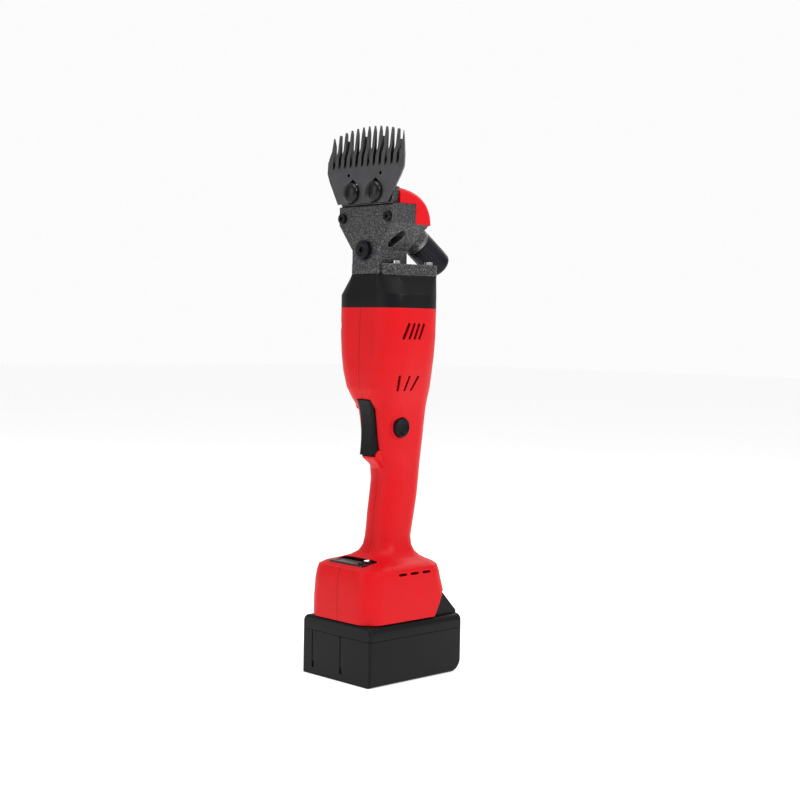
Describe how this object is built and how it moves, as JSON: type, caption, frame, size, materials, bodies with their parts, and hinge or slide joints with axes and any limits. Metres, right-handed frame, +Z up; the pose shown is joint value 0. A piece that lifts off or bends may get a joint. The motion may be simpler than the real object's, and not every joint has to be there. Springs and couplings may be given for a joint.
{
  "type": "cordless sheep shears",
  "caption": "Hand-held cordless shearing machine: toothed comb and oscillating cutter on a cranked gear head, moulded pistol housing with trigger, and a slide-on battery base.",
  "frame": {"origin": "centre of the battery's flat bottom face, on which the tool stands", "axes": "+Z up along the tool to the comb tips, -Y towards the trigger and the skin side of the comb, +X to the side of the lock button"},
  "size_m": [0.078, 0.0999, 0.3847],
  "materials": {
    "red_shell": "moulded red ABS, fine satin texture",
    "black_plastic": "black moulded nylon, fine matt texture",
    "knob_plastic": "black moulded knob, satin",
    "panel_gloss": "glossy black panel",
    "panel_window": "dark green liquid-crystal window",
    "button_rubber": "soft black button",
    "hammertone": "grey hammertone enamel on cast aluminium",
    "comb_steel": "ground and polished tool steel",
    "cutter_steel": "ground tool steel",
    "black_oxide_steel": "black oxide steel",
    "bright_steel": "bright zinc-plated or ground steel",
    "spring_steel": "drawn spring wire",
    "forged_steel": "forged and machined steel",
    "aluminium_part": "machined aluminium",
    "motor_steel": "rolled and plated steel",
    "magnet": "ferrite",
    "fan_plastic": "natural nylon",
    "brass_part": "brass and bronze",
    "circuit_board": "green circuit board",
    "cell_wrap": "blue cell wrap"
  },
  "bodies": {
    "housing": {"housing_left": "red_shell", "housing_right": "red_shell", "housing_screws": "black_oxide_steel", "collar": "black_plastic", "motor_can": "motor_steel", "motor_end_cap": "black_plastic", "motor_bushings": "brass_part", "motor_magnets": "magnet", "motor_plate": "aluminium_part", "motor_plate_screws": "bright_steel", "bearing_outer_rings": "bright_steel", "gear_head_casting": "hammertone", "flange_screws": "bright_steel", "head_front_plate": "hammertone", "front_plate_screws": "black_oxide_steel", "fulcrum_post": "bright_steel", "fulcrum_cap": "knob_plastic", "head_guard": "red_shell", "tension_sleeve": "aluminium_part", "tension_spring": "spring_steel", "comb": "comb_steel", "comb_screws": "black_oxide_steel", "trigger_pivot_pin": "bright_steel", "trigger_switch": "black_plastic", "control_board": "circuit_board", "display_bezel": "panel_gloss", "display_window": "panel_window", "terminal_block": "black_plastic", "tool_terminals": "brass_part"},
    "motor_rotor": {"motor_shaft": "bright_steel", "motor_rotor": "motor_steel", "motor_fan": "fan_plastic", "motor_pinion": "bright_steel"},
    "crank": {"crankshaft": "bright_steel", "drive_gear": "bright_steel", "bearing_inner_rings": "bright_steel"},
    "roller": {"crank_roller": "bright_steel"},
    "fork": {"fork": "forged_steel", "fork_fingers": "bright_steel", "cutter": "cutter_steel"},
    "tension_knob": {"tension_knob": "knob_plastic", "tension_pin": "bright_steel"},
    "trigger": {"trigger": "black_plastic", "trigger_spring": "spring_steel"},
    "lock_button": {"lock_button": "black_plastic"},
    "speed_button_1": {"speed_button_1": "button_rubber"},
    "speed_button_2": {"speed_button_2": "button_rubber"},
    "battery": {"battery_lower_shell": "black_plastic", "battery_upper_shell": "black_plastic", "battery_screws": "black_oxide_steel", "battery_cells": "cell_wrap", "battery_board": "circuit_board", "battery_terminals": "brass_part", "latch_spring": "spring_steel"},
    "battery_release": {"battery_release_button": "black_plastic"}
  },
  "joints": [
    {"name": "motor_spin", "type": "hinge", "parent": "housing", "child": "motor_rotor", "pos_m": [0, 0.0006, 0.225], "axis": [0, 0, 1], "continuous": true},
    {"name": "crank_spin", "type": "hinge", "parent": "housing", "child": "crank", "pos_m": [0, -0.0114, 0.268], "axis": [0, 0, 1], "continuous": true},
    {"name": "roller_spin", "type": "hinge", "parent": "crank", "child": "roller", "pos_m": [-0.00066, -0.00983, 0.2832], "axis": [0, 0, 1], "continuous": true},
    {"name": "fork_swing", "type": "hinge", "parent": "housing", "child": "fork", "pos_m": [0, -0.02856, 0.29912], "axis": [0, -0.9976, 0.0698], "range_deg": [-4, 9.2]},
    {"name": "tension_knob_turn", "type": "hinge", "parent": "housing", "child": "tension_knob", "pos_m": [0, 0.0249, 0.3083], "axis": [0, 0.8192, -0.5736], "range_deg": [0, 360]},
    {"name": "trigger_pull", "type": "hinge", "parent": "housing", "child": "trigger", "pos_m": [0, -0.0135, 0.1905], "axis": [1, 0, 0], "range_deg": [0, 8], "stiffness_Nm_per_rad": 1, "springref_deg": -8.59},
    {"name": "lock_button_press", "type": "slide", "parent": "housing", "child": "lock_button", "axis": [-1, 0, 0], "range_m": [0, 0.003], "stiffness_N_per_m": 400, "springref_m": -0.002},
    {"name": "speed_button_1_press", "type": "slide", "parent": "housing", "child": "speed_button_1", "axis": [0, 0, -1], "range_m": [0, 0.0006], "stiffness_N_per_m": 600, "springref_m": -0.001},
    {"name": "speed_button_2_press", "type": "slide", "parent": "housing", "child": "speed_button_2", "axis": [0, 0, -1], "range_m": [0, 0.0006], "stiffness_N_per_m": 600, "springref_m": -0.001},
    {"name": "battery_slide", "type": "slide", "parent": "housing", "child": "battery", "axis": [0, 1, 0], "range_m": [0, 0.065]},
    {"name": "battery_release_press", "type": "slide", "parent": "battery", "child": "battery_release", "axis": [0, 0, -1], "range_m": [0, 0.002], "stiffness_N_per_m": 500, "springref_m": -0.002, "deforming": ["latch_spring"]}
  ],
  "couplings": [
    {"joint": "crank_spin", "follows": "motor_spin", "ratio": -0.33333}
  ]
}
